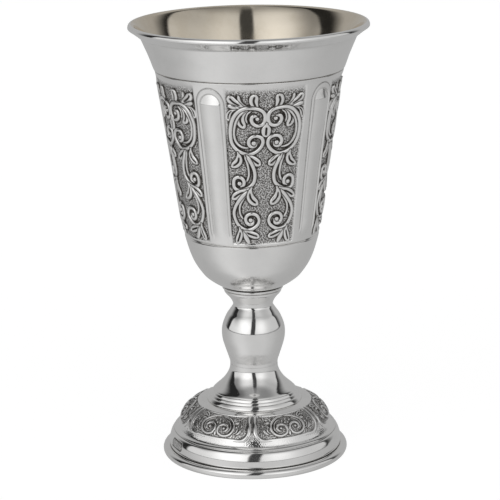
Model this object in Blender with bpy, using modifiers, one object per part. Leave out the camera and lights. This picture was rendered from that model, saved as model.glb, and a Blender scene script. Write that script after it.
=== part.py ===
"""Footed silver cup (ciborium vessel): embossed bowl on a knopped stem and domed foot.

Metres, +Z up, foot on z = 0, turning axis on Z. Every sub-part is a closed turned body, and the
assembly is pulled together by a tie rod through the hollow stem.
"""
import math

import bmesh
import bpy

MM = 0.001

# Driving dimensions, millimetres
HEIGHT = 145.0            # foot to top of the lip
LIP_R = 39.0              # widest point of the lip
LIP_SEAT = 140.8          # top edge of bowl sheet and liner, under the lip ring
SHEET = 0.75              # thickness of the bowl and foot sheet
LINER = 0.6               # thickness of the gilt liner
GAP = 0.3                 # assembly clearance between neighbouring bodies
ROD_R = 2.0               # tie rod
ROD_HOLE = 2.3            # clearance hole for the tie rod
SEGMENTS = 44             # segments round the large bodies
SEGMENTS_STEM = 28        # segments round the stem bodies

FLUTE_AZ = (-25.2, 50.6, 121.5, 192.2, 262.7)   # azimuth of each flute, degrees from the front
PANEL_AZ = (10.5, 86.0, 157.0, 227.5, 298.0)    # azimuth of each embossed panel
FLUTE_HALF = 7.2          # half width of a flute, degrees
FLUTE_RISE = 0.42         # how far a flute's rounded face stands proud of the sheet
FLUTE_Z = (78.5, 127.5)   # foot and crown of the flutes
PANEL_HALF = 25.5         # half width of the sunk ground of a panel, degrees
PANEL_Z = (77.0, 127.8)
PANEL_DEPTH = 0.22
FOOT_PANELS = 6
FOOT_PANEL_DEPTH = 0.25

# Outer face of the bowl sheet: radius against height, top to bottom
BOWL_OUT = [(35.3, 140.8), (34.9, 140.2), (33.69, 137.5), (32.43, 134.5), (31.3, 131.5),
            (30.62, 130.35), (30.38, 130.1), (30.5, 129.8), (30.3, 128.2), (29.31, 122.5),
            (28.42, 116.5), (27.48, 110.5), (26.58, 104.5), (25.69, 98.5), (24.85, 92.5),
            (24.01, 86.5), (23.07, 80.5), (22.3, 76.6), (22.05, 75.9), (21.75, 75.45),
            (21.85, 75.0), (21.15, 71.5), (20.16, 68.5), (18.78, 65.5), (16.76, 62.5),
            (15.44, 61.0), (13.5, 59.5), (11.5, 58.25), (10.9, 57.8)]

# Collar between bowl and stem, top to bottom
COLLAR_OUT = [(10.35, 57.5), (10.1, 57.25), (9.93, 57.0), (9.75, 56.35), (9.5, 55.6),
              (9.1, 54.85), (8.4, 54.1), (7.7, 53.4), (7.15, 52.5), (6.8, 51.7), (6.62, 51.2)]

# Stem baluster with its knop, top to bottom
STEM_OUT = [(6.58, 50.9), (6.72, 50.4), (7.25, 49.6), (8.0, 48.5), (8.71, 47.5), (9.4, 46.1),
            (10.02, 44.5), (10.4, 43.0), (10.52, 41.5), (10.45, 40.0), (10.21, 38.5),
            (9.75, 37.0), (9.31, 35.5), (8.8, 34.0), (8.31, 32.5), (8.0, 31.5), (7.9, 30.7)]

# Flared ring at the base of the stem, with three reeds, top to bottom
FLARE_OUT = [(7.9, 30.4), (8.02, 29.1), (8.33, 28.0), (8.77, 27.0), (9.38, 26.0),
             (10.1, 25.0), (10.95, 24.05), (11.9, 23.15), (12.75, 22.4), (13.35, 21.85),
             (13.6, 21.5), (14.02, 21.1), (14.2, 20.6), (14.57, 20.2), (14.76, 19.75),
             (15.36, 19.4), (15.62, 18.98), (15.84, 18.56), (15.8, 18.3)]

# Foot dome and stepped skirt, top to bottom
DOME_OUT = [(17.45, 18.25), (18.47, 18.0), (19.36, 17.5), (20.32, 17.0), (22.0, 16.0),
            (23.28, 15.0), (24.12, 14.0), (24.68, 13.0), (25.08, 12.0), (25.4, 11.0),
            (25.75, 10.0), (26.05, 9.45)]
SKIRT_OUT = [(26.4, 9.15), (26.9, 8.75), (27.15, 8.45), (27.25, 8.1), (27.75, 7.7),
             (28.06, 7.0), (28.43, 6.0), (28.75, 5.0), (28.85, 4.1), (28.75, 3.3), (28.5, 2.95)]
FOOT_WIRE_OUT = [(28.4, 2.62), (29.2, 2.62), (30.2, 2.5), (30.7, 2.05), (30.9, 1.5),
                 (30.75, 1.0), (30.4, 0.45), (29.8, 0.0)]

OBJECT_NAME = "ciborium_vessel"


def clear_scene():
    for ob in list(bpy.data.objects):
        bpy.data.objects.remove(ob, do_unlink=True)
    for me in list(bpy.data.meshes):
        bpy.data.meshes.remove(me)
    for col in list(bpy.data.collections):
        bpy.data.collections.remove(col)


def new_collection(name):
    col = bpy.data.collections.new(name)
    bpy.context.scene.collection.children.link(col)
    return col


def material(name, color, metallic, roughness):
    mat = bpy.data.materials.new(name)
    mat.use_nodes = True
    bsdf = mat.node_tree.nodes["Principled BSDF"]
    bsdf.inputs["Base Color"].default_value = (*color, 1.0)
    bsdf.inputs["Metallic"].default_value = metallic
    bsdf.inputs["Roughness"].default_value = roughness
    mat.diffuse_color = (*color, 1.0)
    return mat


def radius_at(profile, z):
    """Radius of a top to bottom profile at height z, by straight interpolation."""
    for (r0, z0), (r1, z1) in zip(profile, profile[1:]):
        if z1 <= z <= z0:
            return r1 if z0 == z1 else r1 + (r0 - r1) * (z - z1) / (z0 - z1)
    return profile[0][0] if z > profile[0][1] else profile[-1][0]


def offset_profile(profile, thickness):
    """The inner face of a sheet: the outer face moved inwards along its normal, bottom to top."""
    inner = []
    for i, (r, z) in enumerate(profile):
        r0, z0 = profile[max(i - 1, 0)]
        r1, z1 = profile[min(i + 1, len(profile) - 1)]
        length = math.hypot(r1 - r0, z1 - z0)
        inner.append((r + (z1 - z0) / length * thickness, z - (r1 - r0) / length * thickness))
    return inner[::-1]


def add_object(name, mesh, mat, col):
    mesh.materials.append(mat)
    ob = bpy.data.objects.new(name, mesh)
    col.objects.link(ob)
    return ob


def turned(name, profile, mat, col, steps=SEGMENTS, ring=True):
    """A (radius, height) profile, down its outer side first, turned about Z.

    A ring profile is a closed loop; otherwise it starts and ends on the axis.
    """
    mesh = bpy.data.meshes.new(name)
    edges = [(i, i + 1) for i in range(len(profile) - 1)]
    if ring:
        edges.append((len(profile) - 1, 0))
    mesh.from_pydata([(r * MM, 0.0, z * MM) for r, z in profile], edges, [])
    ob = add_object(name, mesh, mat, col)
    mod = ob.modifiers.new("turn", "SCREW")
    mod.axis = "Z"
    mod.angle = 2 * math.pi
    mod.steps = steps
    mod.render_steps = steps
    mod.use_smooth_shade = True
    mod.use_merge_vertices = True
    mod.merge_threshold = 0.00001
    return ob


def embossed(name, section, azimuths, mat, col):
    """A closed body lofted through the sections that section(azimuth) gives round the axis."""
    mesh = bpy.data.meshes.new(name)
    bm = bmesh.new()
    rings = []
    for az in azimuths:
        a = math.radians(az)
        rings.append([bm.verts.new((r * MM * math.sin(a), -r * MM * math.cos(a), z * MM))
                      for r, z in section(az)])
    for here, there in zip(rings, rings[1:] + rings[:1]):
        for j in range(len(here)):
            n = (j + 1) % len(here)
            bm.faces.new((here[j], here[n], there[n], there[j]))
    bmesh.ops.recalc_face_normals(bm, faces=bm.faces)
    if bm.calc_volume(signed=True) < 0:
        bmesh.ops.reverse_faces(bm, faces=bm.faces)
    bm.to_mesh(mesh)
    bm.free()
    mesh.shade_smooth()
    mesh.set_sharp_from_angle(angle=math.radians(35))
    return add_object(name, mesh, mat, col)


def cylinder(name, radius, low, high, segments, mat, col):
    mesh = bpy.data.meshes.new(name)
    bm = bmesh.new()
    bmesh.ops.create_cone(bm, cap_ends=True, segments=segments, radius1=radius * MM,
                          radius2=radius * MM, depth=(high - low) * MM)
    bm.to_mesh(mesh)
    bm.free()
    ob = add_object(name, mesh, mat, col)
    ob.location.z = (low + high) / 2 * MM
    return ob


def as_cutter(ob):
    ob.hide_render = True
    ob.display_type = "WIRE"
    return ob


def angle_from(az, centre):
    return (az - centre + 180.0) % 360.0 - 180.0


def smooth_step(t):
    t = min(max(t, 0.0), 1.0)
    return t * t * (3 - 2 * t)


def bowl_relief(az, z):
    """How far the bowl sheet stands below its plain turned face, millimetres."""
    low, high = FLUTE_Z
    crown = high - 3.4
    for centre in FLUTE_AZ:
        u = angle_from(az, centre) / FLUTE_HALF
        if abs(u) < 1.0 and low < z < high:
            v = max(z - crown, 0.0) / (high - crown)
            inside = 1.0 - u * u - v * v
            return -FLUTE_RISE * math.sqrt(max(inside, 0.0)) * smooth_step((z - low) / 3.0)
    low, high = PANEL_Z
    for centre in PANEL_AZ:
        u = abs(angle_from(az, centre))
        if u < PANEL_HALF and low < z < high:
            side = smooth_step((PANEL_HALF - u) / 2.0)
            ends = smooth_step((z - low) / 1.2) * smooth_step((high - z) / 2.4)
            return PANEL_DEPTH * side * ends
    return 0.0


def bowl_sheet(name, mat, col):
    """The embossed sheet: turned inside face, outside face worked with flutes and panels."""
    heights = [LIP_SEAT, 137.5, 134.5, 131.5, 130.35, 130.1, 129.8, 128.0]
    heights += [126.8, 125.2, 123.0, 110.0, 95.0, 86.5]
    heights += [81.0, 78.7, 76.9, 75.9, 75.45, 75.0, 71.5, 68.5, 65.5, 62.5]
    heights += [61.0, 59.5, 57.8]
    sheet = offset_profile(BOWL_OUT, SHEET + 0.35)
    inner = [(10.2, 57.8)] + [p for p in sheet if p[1] < 73.0 and p[0] > 10.4][::2]
    inner += [p for p in sheet if 76.6 < p[1] < 139.0][::3] + [(34.5, LIP_SEAT)]
    azimuths = []
    for flute, panel in zip(FLUTE_AZ, PANEL_AZ):
        azimuths += [flute + FLUTE_HALF * t for t in (-1, -0.72, 0, 0.72, 1)]
        azimuths += [panel + PANEL_HALF * t for t in (-1, -0.92, -0.46, 0, 0.46, 0.92, 1)]

    def section(az):
        return [(radius_at(BOWL_OUT, z) - bowl_relief(az, z), z) for z in heights] + inner

    return embossed(name, section, azimuths, mat, col)


def foot_relief(az, z):
    """How far the ground between the foot's dividers is sunk, millimetres."""
    pitch = 360.0 / FOOT_PANELS
    u = abs((az % pitch) - pitch / 2)
    edge = 26.4 - 5.0 * smooth_step((13.6 - z) / 2.2)
    if not 11.7 < z < 17.6 or u > edge:
        return 0.0
    return FOOT_PANEL_DEPTH * smooth_step((edge - u) / 2.0) * smooth_step((17.6 - z) / 0.6) \
        * smooth_step((z - 11.7) / 0.8)


def foot_dome(name, mat, col):
    heights = [18.25, 18.0, 17.5, 16.9, 16.0, 15.0, 14.0, 13.0, 12.2, 11.5, 10.6, 9.45]
    inner = [(24.6, 9.45), (23.9, 12.0), (23.0, 13.4), (21.7, 14.8), (20.0, 15.95),
             (17.6, 16.9), (14.0, 17.3), (ROD_HOLE, 17.4), (ROD_HOLE, 18.0), (16.1, 18.0)]
    pitch = 360.0 / FOOT_PANELS
    azimuths = []
    for k in range(FOOT_PANELS):
        azimuths += [k * pitch + t for t in (0, 3.6, 5.6, 8.6, 18.0, 30.0, 42.0, 51.4, 54.4,
                                             56.4)]

    def section(az):
        return [(radius_at(DOME_OUT, z) - foot_relief(az, z), z) for z in heights] + inner

    return embossed(name, section, azimuths, mat, col)


def build():
    clear_scene()
    col = new_collection(OBJECT_NAME)
    cutters = new_collection("cutters")
    silver = material("polished_silver", (0.83, 0.83, 0.82), 1.0, 0.14)
    chased = material("oxidised_silver", (0.62, 0.61, 0.59), 1.0, 0.3)
    gilt = material("pale_gilt", (0.86, 0.82, 0.70), 1.0, 0.22)
    steel = material("fastening_steel", (0.45, 0.45, 0.46), 1.0, 0.38)

    # lip: a flared ring with a rolled edge, seated on sheet and liner
    lip = [(36.9, 143.9), (37.35, 144.6), (37.75, 144.9), (38.2, HEIGHT), (38.65, 144.9),
           (38.95, 144.6), (LIP_R, 144.15), (38.6, 143.55), (38.05, 143.0), (36.7, 142.0),
           (35.4, 141.1), (33.75, 141.1), (34.7, 141.75), (36.0, 142.8)]
    turned("lip_ring", lip, silver, col)

    bowl_sheet("bowl_shell", chased, col)

    # gilt liner: follows the inside of the bowl sheet, with a plain rounded bottom
    walls = [(radius_at(BOWL_OUT, z) - SHEET - 0.35 - GAP - 0.2, z)
             for z in (137.5, 134.5, 131.5, 126.0, 110.0, 95.0, 82.0, 75.0)]
    face = [(34.1, LIP_SEAT)] + walls
    face += [(19.3, 71.5), (17.9, 68.6), (15.9, 66.0), (13.2, 63.9), (10.0, 62.5), (6.5, 61.8),
             (0.0, 61.6)]
    inside = [(0.0, 62.5), (6.3, 62.7), (9.7, 63.4), (12.8, 64.8), (15.3, 66.8),
              (17.25, 69.2), (18.6, 71.9)]
    inside += [(r - LINER, z) for r, z in reversed(walls)]
    inside += [(33.5, LIP_SEAT)]
    turned("cup_liner", inside + face, gilt, col, ring=False)

    # boss under the bowl that carries the thread of the tie rod
    boss = [(9.0, 61.25), (9.0, 59.8), (8.6, 59.3), (8.6, 58.1), (3.2, 58.1), (3.2, 61.25)]
    turned("bowl_boss", boss, silver, col, SEGMENTS_STEM)

    collar = COLLAR_OUT + [(4.6, 51.2), (4.6, 54.0), (6.4, 56.0), (7.0, 57.5)]
    turned("bowl_collar", collar, silver, col, SEGMENTS_STEM)

    stem = STEM_OUT + [(6.3, 30.7), (6.8, 34.0), (6.8, 46.5), (4.9, 50.9)]
    turned("stem_baluster", stem, silver, col, SEGMENTS_STEM)

    flare = FLARE_OUT + [(6.9, 18.3), (6.3, 19.0), (6.3, 30.4)]
    turned("reeded_flare", flare, silver, col, SEGMENTS_STEM)

    foot_dome("foot_dome", chased, col)

    skirt = SKIRT_OUT + [(27.3, 2.95), (27.7, 3.6), (27.75, 4.2), (27.6, 5.0), (27.3, 6.0),
                         (26.9, 6.8), (26.2, 7.5), (25.6, 8.2), (25.4, 9.15)]
    turned("foot_skirt", skirt, silver, col)

    wire = FOOT_WIRE_OUT + [(28.0, 0.0), (27.4, 0.5), (27.2, 1.4), (27.4, 2.62)]
    turned("foot_wire", wire, silver, col)

    # fastening under the foot: tie rod, washer and nut
    rod = [(0.0, 61.2), (1.7, 61.2), (ROD_R, 60.9), (ROD_R, 12.4), (1.7, 12.1), (0.0, 12.1)]
    turned("tie_rod", rod, steel, col, 24, ring=False)
    washer = [(8.0, 17.1), (8.0, 16.2), (ROD_HOLE, 16.2), (ROD_HOLE, 17.1)]
    turned("foot_washer", washer, steel, col, 32)
    nut = cylinder("foot_nut", 4.62, 12.9, 15.9, 6, steel, col)
    bore = as_cutter(cylinder("foot_nut_bore", ROD_HOLE, 12.0, 17.0, 24, steel, cutters))
    cut = nut.modifiers.new("bore", "BOOLEAN")
    cut.object = bore


build()
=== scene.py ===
"""Looks of the footed silver cup: chased relief, polished turned stem and foot, gilt inside."""
import math

import bpy
import numpy as np
from mathutils import Matrix, Vector


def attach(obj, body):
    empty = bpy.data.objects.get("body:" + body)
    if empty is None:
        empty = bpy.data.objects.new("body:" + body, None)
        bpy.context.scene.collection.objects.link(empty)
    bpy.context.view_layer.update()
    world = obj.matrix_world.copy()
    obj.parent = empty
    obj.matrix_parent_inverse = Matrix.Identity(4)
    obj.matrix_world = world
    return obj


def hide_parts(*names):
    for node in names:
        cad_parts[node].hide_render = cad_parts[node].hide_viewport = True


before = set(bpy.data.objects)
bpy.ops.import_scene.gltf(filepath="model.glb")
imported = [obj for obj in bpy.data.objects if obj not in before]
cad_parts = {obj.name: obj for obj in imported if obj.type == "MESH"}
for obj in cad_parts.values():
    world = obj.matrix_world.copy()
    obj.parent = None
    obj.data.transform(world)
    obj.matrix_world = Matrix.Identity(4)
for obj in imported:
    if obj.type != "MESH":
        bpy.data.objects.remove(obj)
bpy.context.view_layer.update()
MM = 0.001
K_BOWL = 0.4625           # millimetres per degree at the bowl's mean radius
K_FOOT = 0.3927           # millimetres per degree at the foot's mean radius
PANEL_AZ = (10.5, 86.0, 157.0, 227.5, 298.0)
FLUTE_AZ = (-25.2, 50.6, 121.5, 192.2, 262.7)
COARSE = 8                # the back of a chased plate has every eighth row and column
SHARP_ANGLE = math.radians(28.0)


# ---------------------------------------------------------------- curves and distance fields

def spline(points, step=0.12):
    """Catmull-Rom curve through the points, sampled about every step."""
    p = np.asarray(points, float)
    if len(p) == 2:
        n = max(int(np.hypot(*(p[1] - p[0])) / step), 2)
        return p[0] + (p[1] - p[0]) * np.linspace(0, 1, n)[:, None]
    q = np.vstack([2 * p[0] - p[1], p, 2 * p[-1] - p[-2]])
    out = []
    for a, b, c, d in zip(q, q[1:], q[2:], q[3:]):
        n = max(int(math.dist(b, c) / step), 2)
        t = np.linspace(0, 1, n, endpoint=False)[:, None]
        out.append(0.5 * (2 * b + (c - a) * t + (2 * a - 5 * b + 4 * c - d) * t ** 2
                          + (3 * b - a - 3 * c + d) * t ** 3))
    out.append(p[-1:])
    return np.vstack(out)


REACH = 2.6               # a stroke is looked for this far from its points


def stroke_distance(X, Y, line):
    """Distance to a sampled curve, and how far along it the nearest point is, 0 to 1."""
    best = np.full(X.shape, 1e9)
    along = np.zeros(X.shape)
    seg = line[1:] - line[:-1]
    length = np.maximum(np.hypot(seg[:, 0], seg[:, 1]), 1e-9)
    start = np.concatenate([[0.0], np.cumsum(length)])
    for (x0, y0), (dx, dy), ln, s0 in zip(line[:-1], seg, length, start):
        near = np.flatnonzero((np.abs(X - x0) < REACH + ln) & (np.abs(Y - y0) < REACH + ln))
        if not len(near):
            continue
        px, py = X[near] - x0, Y[near] - y0
        t = np.clip((px * dx + py * dy) / ln ** 2, 0, 1)
        d = np.hypot(px - t * dx, py - t * dy)
        hit = d < best[near]
        idx = near[hit]
        best[idx] = d[hit]
        along[idx] = (s0 + t[hit] * ln) / start[-1]
    return best, along


def smooth(t):
    """Smooth step from 0 to 1."""
    t = np.clip(t, 0.0, 1.0)
    return t * t * (3 - 2 * t)


def round_over(d, w):
    """Height across a round ridge of half width w: 1 on its crest, 0 at its foot."""
    return np.clip(1 - (d / np.maximum(w, 1e-6)) ** 2, 0, 1) ** 0.5


class Relief:
    """Chased ridges and leaves on flat points: their heights, and how dark each point is."""

    def __init__(self, x, y):
        self.x, self.y = x.ravel(), y.ravel()
        self.shape = x.shape
        self.h = np.zeros(self.x.shape)
        self.k = np.zeros(self.x.shape)

    def lay(self, value, dark, d, w):
        """Lays a form over what is there, and chases a dark crease along its outline."""
        crease = np.exp(-((d - w) / 0.18) ** 2) * np.clip(w / 0.25, 0, 1)
        over = value > self.h
        self.k = np.where(over, np.maximum(dark, 0.75 * crease), np.maximum(self.k, crease))
        self.h = np.where(over, value, self.h * (1 - 0.4 * crease))

    def ridge(self, points, width, height=1.0, tip=(1.0, 1.0), ends=0.12):
        """A rounded ridge; tip gives its width at either end as a share of the whole."""
        d, t = stroke_distance(self.x, self.y, spline(points))
        a = tip[0] + (1 - tip[0]) * smooth(t / ends)
        b = tip[1] + (1 - tip[1]) * smooth((1 - t) / ends)
        w = width * a * b
        self.lay(height * round_over(d, w) * (0.55 + 0.45 * np.minimum(a, b)), 0.0, d, w)

    def leaf(self, points, width, height=1.0, slit=True, belly=0.55):
        """A leaf that swells from its root, rounds off at its tip and is split down the middle."""
        d, t = stroke_distance(self.x, self.y, spline(points))
        grow = np.sin(np.clip(t / belly, 0, 1) * math.pi / 2) ** 0.8
        end = np.sqrt(np.clip(1 - ((t - belly) / (1 - belly)).clip(0, 1) ** 2.4, 0, 1))
        w = 1.28 * width * np.maximum(grow, 0.28) * np.maximum(end, 0.02)
        body = round_over(d, w) * (0.72 + 0.28 * smooth(t / 0.5))
        dark = 0.0
        if slit:
            g = smooth((t - 0.18) / 0.2) * smooth((0.92 - t) / 0.12)
            cut = g * np.exp(-(d / (0.2 * width + 0.06)) ** 2)
            body = np.clip(body - 0.9 * cut, 0, 1) + 0.02 * (body > 0)
            dark = 1.5 * cut
        self.lay(height * body, dark, d, w)

    def blob(self, x, y, rx, ry, height=1.0, angle=0.0):
        """A round or oval boss."""
        c, s = math.cos(angle), math.sin(angle)
        u = ((self.x - x) * c + (self.y - y) * s) / rx
        v = (-(self.x - x) * s + (self.y - y) * c) / ry
        q = np.sqrt(u * u + v * v)
        w = np.full(q.shape, min(rx, ry))
        self.lay(height * np.clip(1 - q * q, 0, 1) ** 0.5, 0.0, q * w, w)

    def get(self):
        """The heights and the darknesses, as grids."""
        return self.h.reshape(self.shape), np.clip(self.k, 0, 1).reshape(self.shape)


def bowl_scrolls(x, y):
    """The scroll and leaf design of half a bowl panel; x is the distance from its middle."""
    r = Relief(x, y)
    # corner leaves over the big scroll
    r.ridge([(5.6, 122.3), (6.9, 123.1), (7.7, 124.4), (8.1, 126.2)], 0.5, 0.9, tip=(0.5, 0.6))
    r.leaf([(6.2, 122.3), (8.0, 123.1), (9.8, 124.4), (10.9, 126.1)], 1.05, 1.0, belly=0.72)
    r.leaf([(7.4, 122.1), (9.3, 122.4), (11.2, 123.0)], 0.62, 1.0, slit=False, belly=0.7)
    r.leaf([(8.8, 121.7), (10.4, 121.0), (11.2, 119.6), (11.2, 117.9)], 0.62, 0.9, belly=0.66)
    # upright curl over the volute
    r.leaf([(2.1, 121.4), (3.3, 122.8), (3.8, 124.5), (3.2, 126.5)], 1.12, 0.98, belly=0.68)
    # leaf inside the big scroll
    r.ridge([(4.5, 121.2), (5.6, 120.2), (6.05, 118.6), (5.7, 117.2)], 0.34, 0.75, tip=(0.5, 0.5))
    r.leaf([(5.6, 121.3), (7.3, 119.7), (7.7, 117.8), (6.5, 115.5)], 1.05, 0.95, belly=0.64)
    # big scroll: inner rib, outer rib, the two volutes
    r.ridge([(5.6, 121.35), (7.3, 120.4), (8.8, 118.2), (9.55, 115.6), (9.55, 113.0), (8.8, 110.9),
             (7.4, 109.6), (5.9, 109.15), (4.9, 109.2)], 0.46, 0.85, tip=(0.3, 0.6))
    r.ridge([(2.9, 118.35), (3.2, 119.3), (4.1, 119.35), (4.5, 118.3), (4.0, 117.0), (2.65, 116.25),
             (1.1, 116.8), (0.45, 118.5), (0.8, 120.4), (2.2, 121.6), (4.1, 122.0), (6.2, 122.0),
             (8.2, 121.0), (9.7, 119.1), (10.6, 116.4), (10.75, 113.6), (10.3, 110.8), (9.0, 108.8),
             (7.0, 107.5), (4.8, 107.0), (2.8, 107.7), (1.3, 109.2), (0.75, 110.8), (1.2, 112.2),
             (2.6, 112.9), (4.1, 112.7), (5.05, 111.6), (5.0, 110.3), (4.1, 109.5), (3.0, 109.8),
             (2.75, 110.7)], 0.66, 1.0, tip=(0.7, 0.7), ends=0.03)
    r.blob(2.75, 118.5, 0.72, 0.72, 0.95)
    r.blob(3.55, 110.6, 0.8, 0.8, 0.95)
    # leaves under the big scroll
    r.leaf([(6.0, 106.6), (4.4, 105.7), (2.8, 104.4), (1.2, 103.3)], 1.15, 0.95, belly=0.6)
    r.leaf([(8.4, 107.6), (8.1, 105.8), (8.6, 104.2), (10.7, 102.7)], 1.1, 0.95, belly=0.55)
    # upper S stem with its outward volute
    r.ridge([(6.4, 106.6), (5.7, 104.6), (5.2, 102.4), (5.05, 100.4), (5.4, 98.9), (6.0, 97.7)],
            0.45, 0.82, tip=(0.4, 0.5))
    r.ridge([(5.6, 106.6), (4.7, 104.9), (3.75, 102.9), (3.2, 101.0), (3.15, 99.2), (3.6, 97.5),
             (4.9, 96.1), (6.7, 95.15), (8.5, 94.95), (9.9, 95.8), (10.2, 97.2), (9.9, 98.7),
             (8.7, 99.4), (7.5, 99.1), (6.75, 98.1), (6.85, 96.9), (7.8, 96.3)], 0.68, 1.0,
            tip=(0.5, 0.6), ends=0.05)
    r.blob(8.25, 97.25, 0.8, 0.8, 0.95)
    # leaves under the upper S stem
    r.leaf([(5.2, 95.6), (7.2, 94.4), (9.2, 93.3), (11.1, 91.9)], 1.1, 0.95, belly=0.62)
    r.leaf([(4.3, 95.8), (4.85, 93.8), (4.3, 91.9), (2.1, 90.1)], 1.2, 0.95, belly=0.6)
    # lower S stem with its inward volute
    r.ridge([(6.0, 94.0), (7.2, 92.0), (8.2, 90.2), (8.55, 88.6), (8.35, 87.0), (7.7, 85.8),
             (7.0, 85.2)], 0.45, 0.82, tip=(0.4, 0.5))
    r.ridge([(5.9, 94.6), (7.2, 93.2), (8.8, 91.3), (10.0, 89.4), (10.6, 87.3), (10.2, 85.2),
             (9.2, 83.3), (7.4, 82.0), (5.4, 81.65), (3.4, 82.4), (2.05, 83.7), (1.8, 85.2),
             (2.7, 86.6), (4.4, 87.1), (5.9, 86.6), (6.55, 85.4), (6.2, 84.1), (5.1, 83.5),
             (4.0, 83.9), (3.75, 85.0)], 0.68, 1.0, tip=(0.5, 0.6), ends=0.04)
    r.blob(4.75, 84.95, 0.85, 0.8, 0.95)
    # leaves at the bottom
    r.leaf([(8.0, 81.6), (6.0, 80.6), (4.0, 79.9), (1.5, 79.1)], 1.0, 0.95, belly=0.62)
    r.leaf([(7.6, 81.4), (6.8, 79.4), (5.3, 76.9)], 0.72, 0.8, slit=False, belly=0.6)
    r.leaf([(8.9, 82.5), (8.75, 80.2), (10.1, 76.8)], 1.0, 0.95, belly=0.6)
    # bud between the upper volutes
    r.leaf([(0.0, 116.9), (0.0, 114.8), (0.0, 112.5)], 1.25, 0.95, belly=0.5)
    return r.get()


def foot_scrolls(x, y):
    """Half of a foot cartouche; x is the distance from its middle, y runs down the dome."""
    r = Relief(x, y)
    # leaves round the outside
    r.leaf([(5.0, 6.2), (6.4, 5.0), (8.3, 4.2)], 0.62, 1.0)
    r.leaf([(5.4, 7.4), (6.3, 6.5), (7.4, 6.7)], 0.4, 0.8, slit=False)
    r.leaf([(5.3, 10.3), (6.5, 9.8), (6.8, 8.0)], 0.5, 0.9)
    r.leaf([(7.4, 4.9), (8.5, 6.2), (8.3, 7.9)], 0.4, 0.8)
    r.leaf([(6.6, 10.9), (7.6, 10.2), (8.2, 9.0)], 0.36, 0.75, slit=False)
    # the volute with its inner rib
    r.ridge([(2.2, 5.4), (3.7, 6.3), (4.6, 7.7), (4.6, 9.2), (3.9, 10.3)], 0.28, 0.75,
            tip=(0.4, 0.5))
    r.ridge([(0.3, 4.1), (2.3, 4.4), (4.2, 5.5), (5.5, 7.1), (5.8, 8.9), (5.2, 10.4), (4.0, 11.3),
             (2.5, 11.5), (1.1, 10.9), (0.5, 9.7), (0.8, 8.4), (1.9, 7.6), (3.1, 7.7), (3.8, 8.6),
             (3.5, 9.7), (2.7, 10.0)], 0.46, 1.0, tip=(0.5, 0.6), ends=0.05)
    r.blob(2.55, 9.0, 0.5, 0.5, 0.95)
    # berries and the bud between the two volutes
    r.blob(0.5, 7.0, 0.4, 0.5, 0.85, 0.5)
    r.blob(1.4, 6.2, 0.42, 0.5, 0.8, -0.5)
    r.blob(0.0, 5.6, 0.4, 0.5, 0.8)
    r.leaf([(0.0, 9.8), (0.0, 10.7), (0.0, 11.8)], 0.36, 0.95, slit=False)
    return r.get()


ROW_PITCH = 0.87          # distance between rows of dimples, in cells
STRAY = 0.55              # how far a dimple may be out of line, in cells


def scatter(a, b, p, q):
    """A number from 0 to 1 that looks random but depends only on the cell."""
    v = np.sin(a * p + b * q) * 43758.5453
    return v - np.floor(v)


def matting(x, y, cell):
    """Punched dimples in staggered rows, each a little out of line: 1 at their deepest."""
    row = np.floor(y / (ROW_PITCH * cell))
    best = np.full(x.shape, 9.0)
    for j in (-1, 0, 1):
        cy = row + j
        shift = 0.5 * np.mod(cy, 2.0)
        column = np.floor(x / cell - shift)
        for i in (-1, 0, 1):
            cx = column + i
            a, b = scatter(cx, cy, 127.1, 311.7), scatter(cx, cy, 269.5, 183.3)
            px = (cx + shift + 0.5 + STRAY * (a - 0.5)) * cell
            py = (cy + 0.5 + STRAY * (b - 0.5)) * ROW_PITCH * cell
            best = np.minimum(best, np.hypot(x - px, y - py))
    return np.clip(1 - (best / (0.56 * cell)) ** 2, 0, 1)


def blur(a, n, times=3):
    """Box blur of a height map, repeated until it is close to a Gaussian."""
    for _ in range(times):
        for axis in (0, 1):
            pad = [(0, 0), (0, 0)]
            pad[axis] = (n + 1, n)
            c = np.cumsum(np.pad(a, pad, mode="edge"), axis=axis)
            if axis == 0:
                a = (c[2 * n + 1:] - c[:-2 * n - 1]) / (2 * n + 1)
            else:
                a = (c[:, 2 * n + 1:] - c[:, :-2 * n - 1]) / (2 * n + 1)
    return a


# ---------------------------------------------------------------- meshes

def smooth_mesh(name, verts, faces, oxide_and_shade):
    """A smooth-shaded mesh that keeps how dark each of its points is."""
    mesh = bpy.data.meshes.new(name)
    mesh.from_pydata(verts, [], faces)
    mesh.shade_smooth()
    if oxide_and_shade is not None:
        layer = mesh.attributes.new("oxide_and_shade", "FLOAT", "POINT")
        layer.data.foreach_set("value", np.asarray(oxide_and_shade, np.float32))
    return mesh


def show(name, data):
    """A new object in the scene."""
    ob = bpy.data.objects.new(name, data)
    bpy.context.scene.collection.objects.link(ob)
    return ob


def make_object(name, verts, faces, oxide_and_shade=None):
    """An object whose edges are hard where its faces meet at a sharp angle."""
    mesh = smooth_mesh(name, verts, faces, oxide_and_shade)
    mesh.validate()
    mesh.set_sharp_from_angle(angle=SHARP_ANGLE)
    return show(name, mesh)


def around(az, r, z):
    """Points at azimuth az in degrees from the front, radius r and height z."""
    a = np.radians(az)
    return np.stack([r * np.sin(a), -r * np.cos(a), z + 0 * a], axis=-1)


def closed_grid(rows, cols):
    """Faces of a grid of points that closes on itself both ways."""
    i, j = np.arange(rows)[:, None], np.arange(cols)[None, :]
    i2, j2 = (i + 1) % rows, (j + 1) % cols
    quads = np.stack([i * cols + j, i * cols + j2, i2 * cols + j2, i2 * cols + j], axis=-1)
    return quads.reshape(-1, 4).tolist()


def open_grid(rows, cols, first=0):
    """Faces of a flat grid of rows by cols faces, whose points start at number first."""
    i, j = np.arange(rows)[:, None], np.arange(cols)[None, :]
    w = cols + 1
    quads = np.stack([i * w + j, (i + 1) * w + j, (i + 1) * w + j + 1, i * w + j + 1], axis=-1)
    return (quads + first).reshape(-1, 4)


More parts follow.
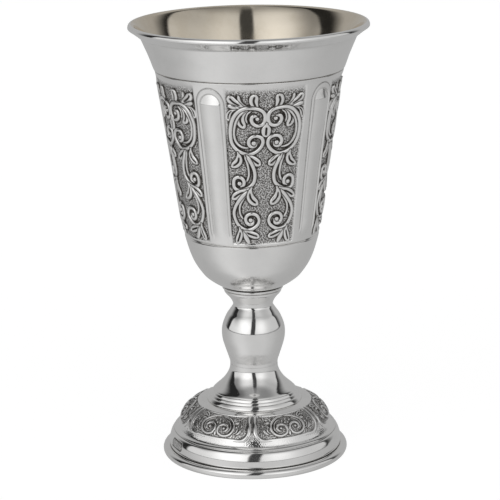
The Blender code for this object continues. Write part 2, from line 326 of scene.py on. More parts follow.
def dense_profile(points, step=0.25):
    """Smooth (radius, height) outline through the points; a third entry marks a sharp corner."""
    corners = [0] + [i for i, p in enumerate(points[1:-1], 1) if len(p) > 2] + [len(points) - 1]
    out = []
    for a, b in zip(corners, corners[1:]):
        part = spline([p[:2] for p in points[a:b + 1]], step)
        out.append(part if b == corners[-1] else part[:-1])
    return np.vstack(out)


def turned(name, outer, inner, segments=288, step=0.25, shade_bands=()):
    """A closed turned body: its outer outline going down, then its inner outline going up.

    The last argument lists (height, half width, darkness) of dark bands painted into the grooves as
    shade: painted shadow and dark reflection.
    """
    loop = np.vstack([dense_profile(outer, step), dense_profile(inner, step * 3)])
    keep = np.hypot(*(loop - np.roll(loop, 1, axis=0)).T) > 1e-4
    loop = loop[keep]
    az = np.arange(segments)[:, None] * 360.0 / segments
    ring = around(az, loop[:, 0], loop[:, 1])
    faces = closed_grid(segments, len(loop))
    dark = np.zeros(ring.shape[:2])
    for z, half, amount in shade_bands:
        dark = np.maximum(dark, amount * np.exp(-((ring[:, :, 2] - z) / half) ** 2))
    return make_object(name, ring.reshape(-1, 3) * MM, faces, dark.ravel())


def turned_on_axis(name, outline, segments=192, step=0.5):
    """A turned body whose outline starts and ends on the axis; both poles are single points."""
    line = dense_profile(outline, step)
    body = line[1:-1]
    n = len(body)
    ring = around(np.arange(segments)[:, None] * 360.0 / segments, body[:, 0], body[:, 1])
    verts = np.vstack([ring.reshape(-1, 3), [[0, 0, line[0, 1]], [0, 0, line[-1, 1]]]]) * MM
    i = np.arange(segments)[:, None]
    j = np.arange(n - 1)[None, :]
    i2 = (i + 1) % segments
    faces = np.stack([i * n + j, i * n + j + 1, i2 * n + j + 1, i2 * n + j], axis=-1)
    faces = faces.reshape(-1, 4).tolist()
    first, last = segments * n, segments * n + 1
    for k in range(segments):
        k2 = (k + 1) % segments
        faces.append((first, k * n, k2 * n))
        faces.append((last, k2 * n + n - 1, k * n + n - 1))
    return make_object(name, verts, faces)


def slab(name, az, r, z, r_in, z_in, oxide_and_shade):
    """A closed curved plate: a fine outer grid, a coarse inner grid and walls all round.

    Rows run down the plate and columns to the right. The inner grid has every eighth of them.
    """
    coarse = (slice(None, None, COARSE),) * 2
    outer, inner = around(az, r, z), around(az[coarse], r_in[coarse], z_in[coarse])
    rows, cols = outer.shape[0] - 1, outer.shape[1] - 1
    r_rows, r_cols = rows // COARSE, cols // COARSE
    back = (rows + 1) * (cols + 1)            # number of the inner grid's first point
    w, v = cols + 1, r_cols + 1
    verts = np.vstack([outer.reshape(-1, 3), inner.reshape(-1, 3)]) * MM
    faces = open_grid(rows, cols).tolist() + open_grid(r_rows, r_cols, back)[:, ::-1].tolist()
    for k in range(r_cols):
        top = [k * COARSE + m for m in range(COARSE + 1)]
        faces.append([back + k, *top, back + k + 1])
        low = [rows * w + k * COARSE + m for m in range(COARSE, -1, -1)]
        faces.append([back + r_rows * v + k + 1, *low, back + r_rows * v + k])
    for k in range(r_rows):
        left = [(k * COARSE + m) * w for m in range(COARSE, -1, -1)]
        faces.append([back + (k + 1) * v, *left, back + k * v])
        right = [(k * COARSE + m) * w + cols for m in range(COARSE + 1)]
        faces.append([back + k * v + r_cols, *right, back + (k + 1) * v + r_cols])
    dark = np.concatenate([oxide_and_shade.reshape(-1), np.zeros(len(verts) - back)])
    mesh = smooth_mesh(name, verts, faces, dark)
    # only the rim of the plate is a hard edge, so the chased surface stays smooth
    grid = np.zeros((rows + 1, cols + 1), bool)
    grid[[0, -1], :] = True
    grid[:, [0, -1]] = True
    rim = np.concatenate([grid.ravel(), np.zeros(len(verts) - back, bool)])
    ends = np.empty(len(mesh.edges) * 2, np.int32)
    mesh.edges.foreach_get("vertices", ends)
    hard = rim[ends.reshape(-1, 2)].all(axis=1)
    edge = mesh.attributes.get("sharp_edge") or mesh.attributes.new("sharp_edge", "BOOLEAN", "EDGE")
    edge.data.foreach_set("value", hard)
    return show(name, mesh)


def finish_piece(ob, finish, node):
    """Gives a piece its material and says which CAD node it stands for."""
    ob.data.materials.append(MAT[finish])
    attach(ob, "root")
    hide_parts(node)


# ---------------------------------------------------------------- outlines, millimetres

# plain face of the bowl sheet, top to bottom
BOWL = [(35.42, 141.0), (35.0, 140.5), (33.69, 137.5), (32.43, 134.5), (31.35, 131.5),
        (30.9, 130.4), (30.45, 130.15, 1)]
WALL = [(30.4, 130.0), (30.62, 129.75), (30.4, 128.9), (29.95, 125.8), (29.27, 122.2),
        (28.38, 116.5), (27.45, 110.5), (26.55, 104.5), (25.66, 98.5), (24.83, 92.5),
        (23.98, 86.5), (23.08, 80.6), (22.4, 77.2), (22.2, 76.1), (21.85, 75.75)]
BASE = [(21.6, 75.62, 1), (21.75, 75.4), (22.02, 75.15), (21.98, 74.6), (21.15, 71.5),
        (20.16, 68.5), (18.78, 65.5), (16.76, 62.5), (15.44, 61.0), (13.5, 59.5), (11.7, 58.35),
        (10.9, 57.9, 1)]


def wall_radius(z):
    """Radius of the bowl's plain wall at height z."""
    line = dense_profile(WALL, 0.3)
    return np.interp(z, line[::-1, 1], line[::-1, 0])


def axis_lean(z):
    """The panels' middle drifts a little to the left as it goes down."""
    return np.clip((z - 116.0) / 8.0, -1.0, 0.0)


def turn_from(az, centre):
    """Degrees from centre to az, the short way round."""
    return (az - centre + 180.0) % 360.0 - 180.0


class Drawing:
    """Half of a chased design, drawn once on a flat grid: its heights, dark lines and halo."""

    def __init__(self, design, x0, y0, width, height, cell, spread):
        self.x0, self.y0, self.cell = x0, y0, cell
        x = x0 + cell * np.arange(int(width / cell))
        y = y0 + cell * np.arange(int(height / cell))
        self.figure, self.lines = design(*np.meshgrid(x, y))
        self.near = blur((self.figure > 0.08) * 1.0, spread)

    def read(self, grid, x, y):
        """Bilinear reading of one of the grids, whose rows are y and columns x."""
        u = np.clip((x - self.x0) / self.cell, 0, grid.shape[1] - 1.001)
        v = np.clip((y - self.y0) / self.cell, 0, grid.shape[0] - 1.001)
        i, j = v.astype(int), u.astype(int)
        fv, fu = v - i, u - j
        return ((grid[i, j] * (1 - fu) + grid[i, j + 1] * fu) * (1 - fv)
                + (grid[i + 1, j] * (1 - fu) + grid[i + 1, j + 1] * fu) * fv)


def mirrored(az, centre, scale):
    """Millimetres from the middle of a panel, to the right and to either side."""
    x = turn_from(az, centre) * scale
    return x, np.abs(x)


# ---------------------------------------------------------------- bowl with chased panels

RELIEF = 0.66             # how far the scrolls stand above the sunk ground
GROUND = 0.38             # how far the ground is sunk
PIT = 0.13                # depth of the punched dimples
PIT_CELL = 0.52           # distance between dimples
SHEET = 1.35              # thickness of the chased plates
PANEL_HALF = 11.75        # half width of a panel's ground
Z_TOP, Z_LOW = 130.0, 75.75
FLUTE_HALF, BEAD_HALF = 3.1, 4.3      # half widths of a flute, and of the bead round it
FLUTE_RISE, BEAD_RISE = 3.4, 5.4      # how far the two arch above their springing
SPRINGING = 122.9
COLS, ROWS = 224, 368


def flute_height(u, z):
    """A raised rounded finger with a dipping end, the groove and the bead round it.

    u is millimetres from the middle of the flute.
    """
    over = np.maximum(z - SPRINGING, 0.0)
    q_in = np.sqrt((u / FLUTE_HALF) ** 2 + (over / FLUTE_RISE) ** 2)
    q_out = np.sqrt((u / BEAD_HALF) ** 2 + (over / BEAD_RISE) ** 2)
    start = smooth((z - 77.0) / 5.0)
    drop = 0.24 * np.clip(z - 122.3, 0, 0.8) ** 2 + 0.385 * np.clip(z - 123.1, 0, 3.3)
    swell = 0.42 * smooth((z - 108.0) / 13.0)
    finger = (0.46 * (1 - (u / FLUTE_HALF) ** 2) - 0.14 + swell) * start - drop
    t = (q_in - 1.04) / np.maximum((q_in - 1.04) + (1 - q_out), 1e-6)
    bead = (0.36 - 0.14 * smooth(over / 2.0)) * np.sin(math.pi * np.clip(t, 0, 1)) ** 0.8
    bead = bead * smooth((z - 78.3) / 2.4)
    within = smooth((1.04 - q_in) / 0.05)
    return finger * within + np.where(q_in > 1.0, bead, 0.0) * (1 - within), q_in, q_out


def ground_tone(pits, halo, low, rise):
    """Darkness of the matted ground: deep in its dimples and beside the scrolls."""
    tone = low + rise * smooth(1.25 * pits)
    return tone + (1.0 - tone) * halo


def build_bowl():
    drawing = Drawing(bowl_scrolls, -0.6, 74.5, 13.6, 56.0, 0.08, 4)
    for k, (centre, left) in enumerate(zip(PANEL_AZ, FLUTE_AZ)):
        right = FLUTE_AZ[(k + 1) % 5] + (360.0 if k == 4 else 0.0)
        az = np.linspace(left, right, COLS + 1)[None, :]
        z = np.linspace(Z_TOP, Z_LOW, ROWS + 1)[:, None]
        az, z = np.broadcast_arrays(az, z)
        x, side = mirrored(az, centre + axis_lean(z), K_BOWL)
        figure = drawing.read(drawing.figure, side, z)
        lines = drawing.read(drawing.lines, side, z)
        halo = smooth(drawing.read(drawing.near, side, z) / 0.48)
        sunk = smooth((PANEL_HALF - side) / 0.9 + 0.5)
        sunk = sunk * smooth((z - 76.4) / 0.8) * smooth((129.0 - z) / 1.6)
        bare = 1 - smooth(figure / 0.12)
        pits = matting(x + 3.1 * k, z, PIT_CELL)
        h = -GROUND * sunk + RELIEF * figure * np.maximum(sunk, 0.25) - PIT * pits * bare * sunk
        u_left = (az - left) * K_BOWL
        u_right = (az - right) * K_BOWL
        u = np.where(np.abs(u_left) < np.abs(u_right), u_left, u_right)
        flute, q_in, q_out = flute_height(u, z)
        in_flute = smooth((1.02 - q_out) / 0.04)
        h = h * (1 - in_flute) + flute * in_flute
        # oxide: deep in the dimples, along the feet of the scrolls and in the chased lines
        ground = ground_tone(pits, halo, 0.08, 0.74)
        ground = ground * (0.25 + 0.75 * smooth((128.9 - z) / 2.6))
        flank = 1 - smooth((figure - 0.2) / 0.5)
        dark = np.where(figure > 0.06, np.maximum(lines, flank), ground) * sunk
        dark = dark * (1 - in_flute)
        round_bead = 0.6 * np.exp(-((q_out - 1) * BEAD_HALF / 0.2) ** 2)
        round_flute = 0.45 * np.exp(-((q_in - 1) * FLUTE_HALF / 0.16) ** 2)
        dark = dark + smooth((z - 78.3) / 2.4) * (round_bead + round_flute)
        dark = dark + 0.5 * smooth((75.95 - z) / 0.15) + 0.5 * smooth((z - 129.78) / 0.12)
        wall = wall_radius(z)
        ob = slab("bowl_relief_%d" % (k + 1), az, wall + h, z, wall - SHEET, z,
                  np.clip(dark, 0, 1))
        finish_piece(ob, "oxidised", "bowl_shell")


# ---------------------------------------------------------------- foot dome with cartouches

DOME = [(15.7, 18.18), (16.3, 18.27), (17.0, 18.3), (17.8, 18.2), (18.5, 17.96), (19.36, 17.5),
        (20.32, 17.0), (22.0, 16.0), (23.28, 15.0), (24.12, 14.0), (24.68, 13.0), (25.08, 12.0),
        (25.4, 11.0), (25.75, 10.0), (26.0, 9.5), (26.3, 9.2)]
FOOT_TURN = 2.3           # degrees that the cartouches are turned round the foot
FOOT_SHEET = 1.2          # thickness of the dome's plates
FOOT_PIT_CELL = 0.44
CARTOUCHE_HALF = 10.2     # half width of a cartouche's ground
CARTOUCHE_TOP, CARTOUCHE_LOW, CORNER = 3.4, 12.4, 3.0
FOOT_COLS, FOOT_ROWS = 352, 112


def cartouche_depth(side, down):
    """Distance inside a cartouche: straight sides, square top, rounded bottom corners."""
    cx = np.maximum(side - (CARTOUCHE_HALF - CORNER), 0.0)
    cy = np.maximum(down - (CARTOUCHE_LOW - CORNER), 0.0)
    low = CORNER - np.hypot(cx, cy)
    from_side, from_top = CARTOUCHE_HALF - side, down - CARTOUCHE_TOP
    inside = np.minimum(np.minimum(from_side, low), np.where(down < 8.0, from_top, 9.0))
    return np.where(down < CARTOUCHE_LOW - CORNER, np.minimum(from_side, from_top), inside)


def build_foot_dome():
    line = dense_profile(DOME, 0.05)
    tangent = np.gradient(line, axis=0)
    tangent = tangent / np.maximum(np.hypot(*tangent.T), 1e-9)[:, None]
    # length down the dome's outline, counted so that it is 6.77 at the height of 16
    s = np.concatenate([[0], np.cumsum(np.hypot(*np.diff(line, axis=0).T))])
    s = s - np.interp(-16.0, -line[:, 1], s) + 6.77
    drawing = Drawing(foot_scrolls, -0.4, 2.6, 11.2, 11.0, 0.05, 5)
    for k in range(3):
        az = np.linspace(120.0 * k - 60.0, 120.0 * k + 60.0, FOOT_COLS + 1)[None, :]
        down = np.linspace(s[0], s[-1], FOOT_ROWS + 1)[:, None]
        az, down = np.broadcast_arrays(az, down)
        r, z = np.interp(down, s, line[:, 0]), np.interp(down, s, line[:, 1])
        t, side = mirrored(np.mod(az + FOOT_TURN, 60.0), 30.0, K_FOOT)
        inside = cartouche_depth(side, down)
        sunk = smooth(inside / 0.35)
        figure = drawing.read(drawing.figure, side, down) * smooth(inside / 0.2 + 0.6)
        lines = drawing.read(drawing.lines, side, down)
        halo = 0.85 * smooth(drawing.read(drawing.near, side, down) / 0.7)
        bare = 1 - smooth(figure / 0.12)
        pits = matting(t + 5.0 * k, down, FOOT_PIT_CELL)
        h = -0.27 * sunk + 0.38 * figure - 0.08 * pits * bare * sunk
        # bead that follows the sides and the rounded corners
        q = -inside
        bead = np.where((q > 0.1) & (q < 1.2), np.sin(math.pi * (q - 0.1) / 1.1) ** 0.8, 0.0)
        along = (smooth((side - 5.0) / 4.0) * smooth((down - 3.2) / 0.8)
                 * smooth((13.3 - down) / 0.8))
        h = h + 0.24 * bead * along
        # chased line and raised finger between two cartouches
        gap = 30.0 * K_FOOT - side
        slot = (np.exp(-(gap / 0.17) ** 2) * smooth((down - 3.2) / 0.6)
                * smooth((13.0 - down) / 0.8))
        wedge = (smooth((q - 1.15) / 0.25) * smooth((down - 9.3) / 0.8)
                 * smooth((13.3 - down) / 3.0))
        h = h - 0.22 * slot + 0.3 * wedge
        # planished border under the cartouches
        border = smooth((q - 0.3) / 0.4) * smooth((down - 9.0) / 1.5)
        h = h - 0.035 * matting(t + 2.0 * k, down, 0.5) * border
        ground = ground_tone(pits, halo, 0.10, 0.72)
        flank = 1 - smooth((figure - 0.12) / 0.5)
        dark = np.where(figure > 0.06, np.maximum(lines, 0.9 * flank), ground) * sunk
        edges = (0.8 * np.exp(-((q - 0.05) / 0.17) ** 2)
                 + 0.75 * np.exp(-((q - 1.25) / 0.15) ** 2))
        dark = dark + 0.7 * slot + 0.12 * wedge + along * edges
        nr, nz = -np.interp(down, s, tangent[:, 1]), np.interp(down, s, tangent[:, 0])
        ob = slab("foot_dome_%d" % (k + 1), az, r + nr * h, z + nz * h,
                  r - FOOT_SHEET * nr, z - FOOT_SHEET * nz, np.clip(dark, 0, 1))
        finish_piece(ob, "oxidised_and_shaded", "foot_dome")


# ---------------------------------------------------------------- turned parts

COLLAR = [(10.5, 58.0), (8.7, 57.9, 1), (8.8, 57.55), (9.8, 57.25), (10.06, 56.85), (9.9, 56.45),
          (9.2, 56.1, 1), (9.5, 55.85), (9.38, 55.35), (8.95, 54.75), (8.4, 54.15), (7.81, 53.5),
          (7.2, 52.6), (6.85, 51.9), (6.62, 51.2), (6.6, 50.95)]
STEM = [(6.6, 50.95), (6.72, 50.4), (7.25, 49.6), (8.0, 48.5), (8.71, 47.5), (9.4, 46.1),
        (10.02, 44.5), (10.4, 43.0), (10.52, 41.5), (10.45, 40.0), (10.21, 38.5), (9.78, 37.0),
        (9.31, 35.5), (8.8, 34.0), (8.31, 32.5), (8.0, 31.5), (7.9, 30.6)]
FLARE = [(7.9, 30.55), (8.02, 29.1), (8.33, 28.0), (8.77, 27.0), (9.38, 26.0), (10.1, 25.0),
         (10.95, 24.05), (11.9, 23.15), (12.75, 22.4), (13.35, 21.85), (13.6, 21.5, 1),
         (13.85, 21.36), (14.02, 21.05), (14.2, 20.66), (14.2, 20.56, 1), (14.4, 20.46),
         (14.57, 20.18), (14.76, 19.82), (14.76, 19.7, 1), (15.12, 19.66), (15.36, 19.4),
         (15.62, 18.98), (15.84, 18.56), (15.84, 18.3), (15.65, 18.15)]
SKIRT = [(26.3, 9.2), (26.7, 8.98), (27.0, 8.75), (27.2, 8.5, 1), (27.15, 8.3), (27.3, 8.05, 1),
         (27.72, 7.7), (28.08, 7.0), (28.4, 6.1), (28.6, 5.4), (28.72, 4.6), (28.78, 3.9),
         (28.74, 3.2), (28.6, 2.8), (28.4, 2.62)]
WIRE = [(28.4, 2.6), (29.3, 2.72), (30.1, 2.6), (30.6, 2.2), (30.88, 1.6), (30.88, 1.0),
        (30.7, 0.5), (30.45, 0.15), (30.2, 0.0)]
LIP = [(37.95, 145.0), (38.2, 144.99), (38.55, 144.86), (38.8, 144.6), (38.94, 144.2),
       (39.0, 143.85), (38.96, 143.6), (38.7, 143.38), (38.35, 143.18), (38.0, 142.92),
       (37.4, 142.48), (36.7, 141.95), (36.0, 141.4), (35.45, 141.02)]
LINING_IN = [(0.0, 62.5), (6.3, 62.7), (9.7, 63.4), (12.8, 64.8), (15.3, 66.8), (17.25, 69.2),
             (18.6, 71.9), (19.6, 75.0), (21.0, 80.0), (22.3, 87.0), (23.6, 96.0), (25.0, 105.5),
             (26.3, 114.0), (27.7, 121.5), (28.9, 127.0), (30.05, 131.0), (31.15, 133.6),
             (32.4, 136.4), (33.7, 139.2), (34.75, 141.2), (35.8, 142.95), (36.7, 144.2),
             (37.15, 144.68), (37.6, 144.93), (37.95, 145.0)]
LINING_OUT = [(37.95, 145.0, 1), (37.5, 144.55), (36.6, 143.5), (35.3, 141.4), (34.3, 139.5),
              (32.85, 136.2), (31.5, 133.2), (30.35, 130.9), (29.2, 127.0), (28.1, 121.5),
              (26.8, 114.0), (25.5, 105.5), (24.1, 96.0), (22.8, 87.0), (21.5, 80.0), (20.1, 75.0),
              (19.2, 71.7), (17.8, 68.7), (15.7, 66.1), (13.1, 64.1), (9.9, 62.8), (6.4, 62.1),
              (0.0, 61.9)]


def build_turned():
    neck_in = [(30.45, 130.15), (29.95, 130.15, 1), (30.9, 132.1), (32.1, 134.8), (33.4, 137.8),
               (34.75, 140.6), (35.1, 141.0, 1), (35.42, 141.0)]
    ob = turned("bowl_neck_band", BOWL, neck_in)
    finish_piece(ob, "silver", "bowl_shell")
    base_in = [(10.9, 57.9), (10.2, 58.2, 1), (11.0, 59.1), (13.0, 60.6), (15.0, 62.3),
               (17.6, 65.8), (19.0, 69.0), (20.1, 72.0), (20.9, 75.62), (21.6, 75.62)]
    ob = turned("bowl_base", BASE, base_in)
    finish_piece(ob, "silver", "bowl_shell")
    collar_in = [(6.6, 50.95), (5.2, 51.0, 1), (5.2, 54.0), (6.8, 56.2), (7.6, 58.0, 1),
                 (10.5, 58.0)]
    # painted shade: a dark band painted on the bead's upper face in the shadow of the bowl's base,
    # and another in the groove under the bead
    ob = turned("bowl_collar_moulding", COLLAR, collar_in,
                shade_bands=((57.35, 0.28, 0.9), (56.1, 0.12, 0.5)))
    finish_piece(ob, "oxidised_and_shaded", "bowl_collar")
    ob = turned("stem_knop", STEM, [(7.9, 30.6), (6.5, 30.6, 1), (6.8, 34.0), (6.8, 46.5),
                                    (5.3, 50.95, 1), (6.6, 50.95)])
    finish_piece(ob, "silver", "stem_baluster")
    ob = turned("flare_reeds", FLARE, [(15.65, 18.15), (6.8, 18.1, 1), (6.4, 19.4), (6.4, 30.55, 1),
                                       (7.9, 30.55)])
    finish_piece(ob, "silver", "reeded_flare")
    ob = turned("foot_base_wire", WIRE, [(30.2, 0.0), (28.2, 0.0, 1), (27.6, 0.5), (27.4, 1.4),
                                         (27.5, 2.6, 1), (28.4, 2.6)])
    finish_piece(ob, "silver", "foot_wire")
    ob = turned("lip_roll", LIP, [(35.45, 141.02), (35.2, 141.1, 1), (35.9, 142.2), (36.8, 143.4),
                                  (37.5, 144.3), (37.8, 144.8), (37.95, 145.0)], 320, 0.15)
    finish_piece(ob, "silver", "lip_ring")
    ob = turned_on_axis("gilt_lining", LINING_IN + LINING_OUT[1:])
    finish_piece(ob, "gilt", "cup_liner")


PUNCH_AZ = -66.6          # azimuth of the middle of the punch frame
K_SKIRT = 0.497           # millimetres per degree at the skirt


def build_skirt():
    """The foot's stepped skirt, with a blank sunken punch frame on its left front."""
    front = dense_profile(SKIRT, 0.12)
    inner = dense_profile([(28.4, 2.62), (27.5, 2.62, 1), (27.8, 3.6), (27.8, 4.4), (27.4, 6.0),
                           (26.8, 7.2), (25.9, 8.2), (25.4, 9.2, 1), (26.3, 9.2)], 0.4)
    line = np.vstack([front, inner[1:-1]])
    # fine columns across the punch frame, coarse ones round the rest
    columns = np.concatenate([np.arange(-76.6, -57.0, 0.14), np.arange(-56.6, 283.0, 1.2)])
    az, j = np.meshgrid(columns, np.arange(len(line)), indexing="ij")
    r, z, outside = line[j, 0], line[j, 1], j < len(front)
    # distance from the outline of a rounded rectangle, negative inside it
    u = np.abs((az - PUNCH_AZ) * K_SKIRT) - 2.9
    v = np.abs(z - 5.55) - 0.35
    d = np.hypot(np.maximum(u, 0), np.maximum(v, 0)) + np.minimum(np.maximum(u, v), 0) - 1.0
    frame_cut = np.exp(-(d / 0.16) ** 2) * outside
    field = smooth(-d / 0.25) * outside
    r = r - 0.18 * frame_cut - 0.07 * field
    grain = matting(az * K_SKIRT, z, 0.55)
    seams = 0.85 * smooth((3.05 - z) / 0.3) + 0.6 * np.exp(-((z - 8.28) / 0.15) ** 2)
    dark = np.clip(0.95 * frame_cut + field * (0.25 + 0.35 * grain) + seams * outside, 0, 1)
    ob = make_object("foot_stepped_skirt", around(az, r, z).reshape(-1, 3) * MM,
                     closed_grid(len(columns), len(line)), dark.ravel())
    finish_piece(ob, "oxidised_and_shaded", "foot_skirt")


# ---------------------------------------------------------------- materials

class Nodes:
    """Short calls for building a node tree."""

    def __init__(self, tree):
        self.tree = tree

    def node(self, kind, **settings):
        n = self.tree.nodes.new(kind)
        for key, value in settings.items():
            setattr(n, key, value)
        return n

    def put(self, socket, value):
        if isinstance(value, bpy.types.NodeSocket):
            self.tree.links.new(value, socket)
        else:
            socket.default_value = value

    def math(self, op, a, b=0.0, c=0.0):
        n = self.node("ShaderNodeMath", operation=op)
        for socket, value in zip(n.inputs, (a, b, c)):
            self.put(socket, value)
        return n.outputs[0]

    def times(self, a, b):
        return self.math("MULTIPLY", a, b)

    def plus(self, a, b):
        return self.math("ADD", a, b)

    def away(self, value, centre, width):
        """Distance from centre, in widths, squared."""
        u = self.math("DIVIDE", self.math("SUBTRACT", value, centre), width)
        return self.times(u, u)

    def bell(self, squared):
        """1 where the squared distance is 0, falling smoothly to 0."""
        return self.math("EXPONENT", self.times(squared, -1.0))

    def ramp(self, value, low, high, to_low=0.0, to_high=1.0):
        n = self.node("ShaderNodeMapRange", interpolation_type="SMOOTHSTEP")
        self.put(n.inputs["Value"], value)
        n.inputs["From Min"].default_value = low
        n.inputs["From Max"].default_value = high
        n.inputs["To Min"].default_value = to_low
        n.inputs["To Max"].default_value = to_high
        return n.outputs["Result"]

    def noise(self, vector, scale, detail=3.0, rough=0.5):
        n = self.node("ShaderNodeTexNoise")
        self.put(n.inputs["Vector"], vector)
        n.inputs["Scale"].default_value = scale
        n.inputs["Detail"].default_value = detail
        n.inputs["Roughness"].default_value = rough
        return n.outputs["Fac"]

    def mix(self, fac, a, b):
        n = self.node("ShaderNodeMix", data_type="RGBA")
        self.put(n.inputs["Factor"], fac)
        self.put(n.inputs[6], a)
        self.put(n.inputs[7], b)
        return n.outputs[2]

    def scaled(self, vector, scale):
        n = self.node("ShaderNodeMapping")
        self.put(n.inputs["Vector"], vector)
        n.inputs["Scale"].default_value = scale
        return n.outputs["Vector"]

    def bump(self, height, strength, distance, normal=None):
        n = self.node("ShaderNodeBump")
        n.inputs["Strength"].default_value = strength
        n.inputs["Distance"].default_value = distance
        self.put(n.inputs["Height"], height)
        if normal is not None:
            self.put(n.inputs["Normal"], normal)
        return n.outputs["Normal"]


def new_material(name):
    mat = bpy.data.materials.new(name)
    mat.use_nodes = True
    g = Nodes(mat.node_tree)
    bsdf = mat.node_tree.nodes["Principled BSDF"]
    where = g.node("ShaderNodeTexCoord").outputs["Object"]
    return mat, g, bsdf, where


def metal(name, tone, dull, rough, line_strength, line_scale=5200.0, oxide_and_shade=None, satin=()):
    """Metal with handling haze, fine turning lines and scratches.

    tone and dull are its clean and its hazed colour, and rough its two roughnesses. The argument
    after line_scale gives the two colours of a dark layer that the mesh's own per-point attribute
    lays on, and how much it
    roughens: oxide in the chased hollows, and painted shade on the collar. satin lists (lowest,
    highest, added roughness) of bands buffed less, in metres.
    """
    mat, g, bsdf, where = new_material(name)
    haze = g.noise(where, 130.0, 4.0, 0.6)
    fine = g.noise(where, 900.0, 3.0, 0.55)
    colour = g.mix(g.ramp(haze, 0.35, 0.75), (*tone, 1.0), (*dull, 1.0))
    lines = g.noise(g.scaled(where, (60.0, 60.0, line_scale)), 1.0, 2.0, 0.6)
    scratch = g.noise(g.scaled(where, (3000.0, 3000.0, 90.0)), 1.0, 2.0, 0.5)
    rough_value = g.plus(g.ramp(haze, 0.3, 0.8, rough[0], rough[1]),
                         g.ramp(fine, 0.45, 0.75, 0.0, 0.03))
    if satin:
        height = g.node("ShaderNodeSeparateXYZ")
        g.put(height.inputs[0], where)
    for low, high, amount in satin:
        middle, half = (low + high) / 2, (high - low) / 2
        away = g.math("ABSOLUTE", g.math("SUBTRACT", height.outputs["Z"], middle))
        rough_value = g.plus(rough_value, g.ramp(away, half, 0.4 * half, 0.0, amount))
    # lays the per-point dark layer on: oxide in the chased hollows, and painted shade on the collar
    if oxide_and_shade is not None:
        level = g.node("ShaderNodeAttribute", attribute_name="oxide_and_shade").outputs["Fac"]
        speck = g.ramp(g.noise(where, 2600.0, 2.0, 0.6), 0.35, 0.7, 0.86, 1.12)
        level = g.math("MINIMUM", g.times(level, speck), 1.0)
        stain = g.mix(g.ramp(fine, 0.35, 0.7), (*oxide_and_shade[0], 1.0), (*oxide_and_shade[1], 1.0))
        colour = g.mix(g.ramp(level, 0.02, 0.95), colour, stain)
        rough_value = g.plus(rough_value, g.ramp(level, 0.05, 0.9, 0.0, oxide_and_shade[2]))
    g.put(bsdf.inputs["Base Color"], colour)
    g.put(bsdf.inputs["Roughness"], rough_value)
    bsdf.inputs["Metallic"].default_value = 1.0
    n = g.bump(lines, line_strength, 0.00002)
    n = g.bump(scratch, line_strength * 0.3, 0.00001, n)
    g.put(bsdf.inputs["Normal"], n)
    return mat


BRIGHT_SILVER = (0.93, 0.925, 0.915)
CHASED_DULL = (0.88, 0.875, 0.865)
MAT = {
    "silver": metal("polished_silver_finish", BRIGHT_SILVER, (0.89, 0.885, 0.875),
                    (0.045, 0.11), 0.10, satin=((0.029, 0.037, 0.16), (0.057, 0.068, 0.07))),
    "oxidised": metal("chased_silver_finish", BRIGHT_SILVER, CHASED_DULL, (0.07, 0.14), 0.05,
                      oxide_and_shade=((0.044, 0.039, 0.034), (0.092, 0.083, 0.073), 0.34)),
    # the foot's oxidised finish, also given to the collar to carry its painted shade bands
    "oxidised_and_shaded": metal("foot_silver_finish", BRIGHT_SILVER, CHASED_DULL, (0.05, 0.11), 0.06,
                           oxide_and_shade=((0.040, 0.035, 0.030), (0.088, 0.079, 0.069), 0.34)),
    "gilt": metal("pale_gilt_finish", (0.83, 0.755, 0.635), (0.77, 0.69, 0.565), (0.06, 0.14),
                  0.16, 4200.0),
    "steel": metal("fastening_steel_finish", (0.50, 0.50, 0.51), (0.38, 0.38, 0.39), (0.28, 0.42),
                   0.3, 3000.0),
}


# ---------------------------------------------------------------- studio

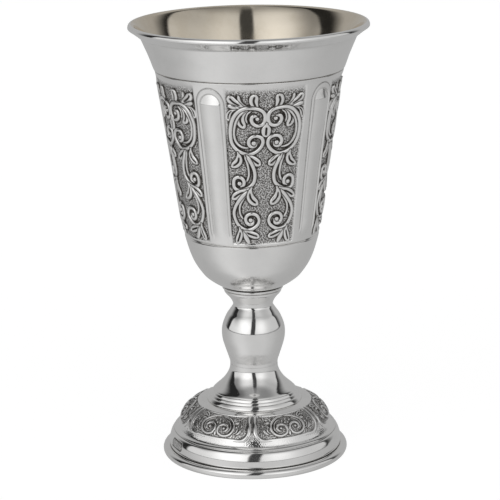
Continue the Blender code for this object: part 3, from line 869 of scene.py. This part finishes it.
def build_world():
    """Two broad soft boxes in front, dark studio behind the camera, pale table below."""
    world = bpy.data.worlds.new("studio")
    bpy.context.scene.world = world
    world.use_nodes = True
    tree = world.node_tree
    tree.nodes.clear()
    g = Nodes(tree)
    direction = g.node("ShaderNodeTexCoord").outputs["Generated"]
    split = g.node("ShaderNodeSeparateXYZ")
    g.put(split.inputs[0], direction)
    x, y, z = split.outputs
    # azimuth from the front and elevation, in degrees
    az = g.times(g.math("ARCTAN2", x, g.times(y, -1.0)), 180 / math.pi)
    el = g.times(g.math("ARCSINE", z), 180 / math.pi)
    turn = g.math("ABSOLUTE", az)

    def box(inner_edge, outer_edge, az0, el0, width, height, glow, level):
        """One soft box: its two upright edges, and a glow brightest at (az0, el0)."""
        glow = g.times(g.bell(g.plus(g.away(az, az0, width), g.away(el, el0, height))), glow)
        return g.times(g.times(inner_edge, outer_edge), g.plus(glow, level))

    # broad soft boxes, left and right of the camera, brightest in the middle, dimmer high up
    left = box(g.ramp(g.plus(az, g.ramp(el, 4.0, 50.0, 2.6, -1.5)), -6.0, -10.0),
               g.ramp(g.plus(az, g.times(el, -0.28)), -106.0, -101.0),
               -34.0, 26.0, 30.0, 34.0, 0.5, 0.66)
    outer = g.times(g.ramp(az, -52.0, -88.0), g.ramp(el, 14.0, 32.0))
    left = g.times(left, g.math("SUBTRACT", 1.0, g.times(outer, 0.6)))
    right = box(g.ramp(g.plus(az, g.ramp(el, 4.0, 50.0, 2.6, -4.5)), 6.0, 10.0),
                g.ramp(g.plus(az, g.times(el, 0.06)), 112.0, 107.0),
                30.0, 24.0, 26.0, 30.0, 0.38, 0.56)
    fall = g.times(g.ramp(el, 24.0, 44.0, 1.0, 0.76), g.ramp(el, 48.0, 68.0, 1.0, 0.5))
    boxes = g.times(g.times(g.plus(left, right), g.ramp(el, 0.0, 4.0)), fall)
    # dim gap between the boxes, dark strips beyond them, brighter wall behind the object
    behind = g.ramp(turn, 110.0, 134.0, 0.02, 0.42)
    high_gap = g.times(g.ramp(el, 60.0, 70.0, 0.0, 0.15), g.ramp(turn, 12.0, 9.0))
    gap = g.plus(g.ramp(turn, 30.0, 60.0, 0.035, 0.0), high_gap)
    above = g.plus(g.plus(boxes, gap), behind)
    # pale table below the horizon, a little brighter on either side
    glow = g.plus(g.times(g.bell(g.away(az, -66.0, 34.0)), 0.15),
                  g.times(g.bell(g.away(az, 78.0, 30.0)), 0.04))
    table = g.plus(g.ramp(turn, 30.0, 100.0, 0.58, 0.42), glow)
    up = g.ramp(el, -0.5, 0.8)
    total = g.plus(g.times(above, up), g.times(table, g.math("SUBTRACT", 1.0, up)))
    back = g.node("ShaderNodeBackground")
    g.put(back.inputs["Color"], total)
    back.inputs["Strength"].default_value = 1.0
    out = g.node("ShaderNodeOutputWorld")
    tree.links.new(back.outputs[0], out.inputs[0])


def stage_surface(name, verts, faces, shade, glow):
    """A pale surface that only the camera sees, so the metal reflects the studio alone."""
    mesh = bpy.data.meshes.new(name)
    mesh.from_pydata(verts, [], faces)
    ob = show(name, mesh)
    mat = bpy.data.materials.new(name)
    mat.use_nodes = True
    bsdf = mat.node_tree.nodes["Principled BSDF"]
    bsdf.inputs["Base Color"].default_value = (shade, shade, shade, 1.0)
    bsdf.inputs["Roughness"].default_value = 0.9
    bsdf.inputs["Specular IOR Level"].default_value = 0.0
    bsdf.inputs["Emission Color"].default_value = (1.0, 1.0, 1.0, 1.0)
    bsdf.inputs["Emission Strength"].default_value = glow
    mesh.materials.append(mat)
    ob.visible_glossy = False
    ob.visible_diffuse = False
    ob.visible_shadow = False
    ob.visible_transmission = False


def build_stage():
    half, radius, top, sides = 6.0, 5.9, 6.0, 48
    corners = [(-half, -half, 0), (half, -half, 0), (half, half, 0), (-half, half, 0)]
    stage_surface("floor", corners, [(0, 1, 2, 3)], 0.25, 0.9)
    # round wall about the scene
    verts, faces = [], []
    for i in range(sides):
        a = 2 * math.pi * i / sides
        x, y = radius * math.cos(a), radius * math.sin(a)
        verts += [(x, y, -0.01), (x, y, top)]
        j = (i + 1) % sides
        faces.append((2 * i, 2 * i + 1, 2 * j + 1, 2 * j))
    stage_surface("backdrop", verts, faces, 0.0, 1.02)


# the photograph's camera, fitted to the ellipses of the lip and the foot
CAMERA_PLACE = (0.0, -0.68652, 0.24708)
CAMERA_RIGHT = (0.999874, -0.002995, -0.015564)
CAMERA_UP = (0.015817, 0.250963, 0.967868)
CAMERA_LENS = 154.64


def build_camera():
    cam = bpy.data.cameras.new("camera")
    cam.lens = CAMERA_LENS
    cam.sensor_width = 36.0
    cam.clip_start, cam.clip_end = 0.05, 50.0
    right, up = Vector(CAMERA_RIGHT), Vector(CAMERA_UP)
    back = right.cross(up).normalized()
    up = back.cross(right).normalized()
    place = Matrix((right, up, back)).transposed().to_4x4()
    place.translation = Vector(CAMERA_PLACE)
    ob = show("camera", cam)
    ob.matrix_world = place
    bpy.context.scene.camera = ob


build_camera()
build_world()
build_stage()
build_bowl()
build_foot_dome()
build_turned()
build_skirt()

for node_name, finish in (("bowl_boss", "silver"), ("tie_rod", "steel"), ("foot_washer", "steel"),
                          ("foot_nut", "steel")):
    for material_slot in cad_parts[node_name].material_slots:
        material_slot.material = MAT[finish]

bpy.context.scene.view_settings.view_transform = "Standard"
